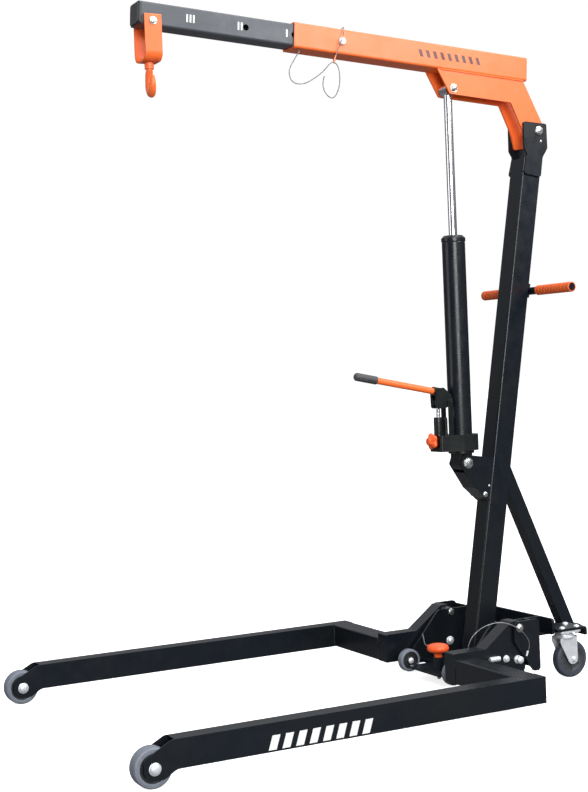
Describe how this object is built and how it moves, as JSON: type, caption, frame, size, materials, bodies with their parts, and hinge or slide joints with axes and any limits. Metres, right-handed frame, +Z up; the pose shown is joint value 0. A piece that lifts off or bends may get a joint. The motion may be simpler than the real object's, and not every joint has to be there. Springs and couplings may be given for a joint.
{
  "type": "engine hoist crane",
  "caption": "Folding workshop hoist crane with orange telescoping boom, hydraulic ram, black frame and wheeled legs.",
  "frame": {"origin": "on the floor, under the middle of the crane's outer box", "axes": "the crane faces -Y, +X is its left side, +Z is up"},
  "size_m": [1.128, 1.756, 2.0088],
  "materials": {
    "frame_black": "satin black powder coat",
    "hoist_orange": "bright orange powder coat",
    "inner_boom": "dark blue-grey powder coat",
    "chrome": "polished chrome plate",
    "zinc": "bright zinc plate",
    "bolt_steel": "dull zinc plate",
    "knob_orange": "moulded orange plastic",
    "grip_orange": "moulded orange grip",
    "grip_black": "black rubber grip",
    "pump_black": "black enamel",
    "tyre_grey": "grey rubber tread",
    "tyre_dark": "dark grey rubber tread",
    "hub_black": "black moulded hub",
    "hub_grey": "grey moulded hub",
    "wire": "braided wire"
  },
  "bodies": {
    "base": {"base_side_left": "frame_black", "base_side_right": "frame_black", "fold_lugs": "frame_black", "base_floor": "frame_black", "base_rear_plate": "frame_black", "caster_shelf": "frame_black", "brace_foot": "frame_black", "caster_bolts": "zinc", "caster_mounts": "zinc", "mast": "frame_black", "mast_clevis": "frame_black", "ram_bracket": "frame_black", "mast_brace": "frame_black", "push_handle": "frame_black", "handle_grips": "grip_orange", "frame_bolts": "bolt_steel", "pin_lanyard": "wire"},
    "left_leg": {"left_leg_tube": "frame_black", "left_leg_cross_tube": "frame_black", "left_leg_hinge_arm": "frame_black", "left_leg_wheel_axle": "chrome", "leg_lanyard": "wire"},
    "right_leg": {"right_leg_tube": "frame_black", "right_leg_cross_tube": "frame_black", "right_leg_hinge_arm": "frame_black", "right_leg_wheel_axle": "chrome"},
    "left_lock_pin": {"left_leg_lock_pin": "zinc"},
    "right_lock_pin": {"right_leg_lock_pin": "zinc"},
    "left_front_wheel": {"left_front_tyre": "tyre_grey", "left_front_hub": "hub_black"},
    "right_front_wheel": {"right_front_tyre": "tyre_grey", "right_front_hub": "hub_black"},
    "left_parking_wheel": {"parking_wheel_left": "hub_black"},
    "right_parking_wheel": {"parking_wheel_right": "hub_black"},
    "parking_lock": {"parking_pin": "knob_orange"},
    "left_caster": {"caster_fork_left": "zinc"},
    "right_caster": {"caster_fork_right": "zinc"},
    "left_caster_wheel": {"caster_tyre_left": "tyre_dark", "caster_hub_left": "hub_grey"},
    "right_caster_wheel": {"caster_tyre_right": "tyre_dark", "caster_hub_right": "hub_grey"},
    "boom": {"boom_tube": "hoist_orange", "boom_arm": "hoist_orange", "ram_top_bolts": "bolt_steel", "boom_lanyard": "wire"},
    "boom_lock": {"boom_lock_pin": "zinc"},
    "extension": {"sliding_boom": "inner_boom", "boom_end_cap": "hub_black", "hook_pin": "bolt_steel"},
    "strap": {"hook_strap": "hoist_orange"},
    "hook": {"swivel_hook": "hoist_orange"},
    "ram": {"ram_cylinder": "frame_black", "pump_block": "pump_black", "pump_cylinders": "pump_black"},
    "rod": {"ram_rod": "chrome"},
    "piston": {"pump_piston": "chrome"},
    "lever": {"lever_socket": "pump_black", "pump_lever": "hoist_orange", "pump_grip": "grip_black"},
    "release": {"release_knob": "knob_orange"}
  },
  "joints": [
    {"name": "left_leg_fold", "type": "hinge", "parent": "base", "child": "left_leg", "pos_m": [0.191, 0.48, 0.18], "axis": [-1, 0, 0], "range_deg": [0, 90]},
    {"name": "right_leg_fold", "type": "hinge", "parent": "base", "child": "right_leg", "pos_m": [-0.191, 0.48, 0.18], "axis": [-1, 0, 0], "range_deg": [0, 90]},
    {"name": "left_lock_pull", "type": "slide", "parent": "left_leg", "child": "left_lock_pin", "axis": [1, 0, 0], "range_m": [0, 0.06]},
    {"name": "right_lock_pull", "type": "slide", "parent": "right_leg", "child": "right_lock_pin", "axis": [-1, 0, 0], "range_m": [0, 0.06]},
    {"name": "left_front_spin", "type": "hinge", "parent": "left_leg", "child": "left_front_wheel", "pos_m": [0.53, -0.828, 0.05], "axis": [1, 0, 0], "continuous": true},
    {"name": "right_front_spin", "type": "hinge", "parent": "right_leg", "child": "right_front_wheel", "pos_m": [-0.53, -0.828, 0.05], "axis": [1, 0, 0], "continuous": true},
    {"name": "left_parking_spin", "type": "hinge", "parent": "base", "child": "left_parking_wheel", "pos_m": [0.124, 0.304, 0.05], "axis": [1, 0, 0], "continuous": true},
    {"name": "right_parking_spin", "type": "hinge", "parent": "base", "child": "right_parking_wheel", "pos_m": [-0.124, 0.304, 0.05], "axis": [1, 0, 0], "continuous": true},
    {"name": "parking_lock_pull", "type": "slide", "parent": "base", "child": "parking_lock", "axis": [0, 0, 1], "range_m": [0, 0.05]},
    {"name": "left_caster_swivel", "type": "hinge", "parent": "base", "child": "left_caster", "pos_m": [0.192, 0.67, 0.13], "axis": [0, 0, 1], "continuous": true},
    {"name": "right_caster_swivel", "type": "hinge", "parent": "base", "child": "right_caster", "pos_m": [-0.192, 0.67, 0.13], "axis": [0, 0, 1], "continuous": true},
    {"name": "left_caster_spin", "type": "hinge", "parent": "left_caster", "child": "left_caster_wheel", "pos_m": [0.192, 0.688, 0.0575], "axis": [1, 0, 0], "continuous": true},
    {"name": "right_caster_spin", "type": "hinge", "parent": "right_caster", "child": "right_caster_wheel", "pos_m": [-0.192, 0.688, 0.0575], "axis": [1, 0, 0], "continuous": true},
    {"name": "boom_lift", "type": "hinge", "parent": "base", "child": "boom", "pos_m": [0, 0.759, 1.702], "axis": [-1, 0, 0], "range_deg": [-40, 10]},
    {"name": "ram_swing", "type": "hinge", "parent": "base", "child": "ram", "pos_m": [0, 0.448, 0.668], "axis": [-1, 0, 0], "range_deg": [-1.4, 0.4]},
    {"name": "rod_extend", "type": "slide", "parent": "ram", "child": "rod", "axis": [0, 0, 1], "range_m": [-0.225, 0.058]},
    {"name": "boom_extend", "type": "slide", "parent": "boom", "child": "extension", "axis": [0, -0.998, 0.0628], "range_m": [-0.31, 0]},
    {"name": "boom_lock_pull", "type": "slide", "parent": "boom", "child": "boom_lock", "axis": [1, 0, 0], "range_m": [0, 0.06]},
    {"name": "strap_swing", "type": "hinge", "parent": "extension", "child": "strap", "pos_m": [0, -0.5398, 1.95305], "axis": [1, 0, 0], "range_deg": [-50, 50]},
    {"name": "hook_swivel", "type": "hinge", "parent": "strap", "child": "hook", "pos_m": [0, -0.5398, 1.84555], "axis": [0, 0, 1], "continuous": true},
    {"name": "pump_lever_swing", "type": "hinge", "parent": "ram", "child": "lever", "pos_m": [0, 0.401, 0.862], "axis": [-1, 0, 0], "range_deg": [-30, 12]},
    {"name": "pump_stroke", "type": "slide", "parent": "ram", "child": "piston", "axis": [0, 0, 1], "range_m": [-0.0182, 0.0076]},
    {"name": "release_turn", "type": "hinge", "parent": "ram", "child": "release", "pos_m": [0, 0.3526, 0.74], "axis": [0, -1, 0], "range_deg": [0, 180]}
  ],
  "couplings": [
    {"joint": "ram_swing", "follows": "boom_lift", "ratio": 0.034},
    {"joint": "rod_extend", "follows": "boom_lift", "m_per_rad": 0.318},
    {"joint": "pump_stroke", "follows": "pump_lever_swing", "m_per_rad": 0.034}
  ]
}
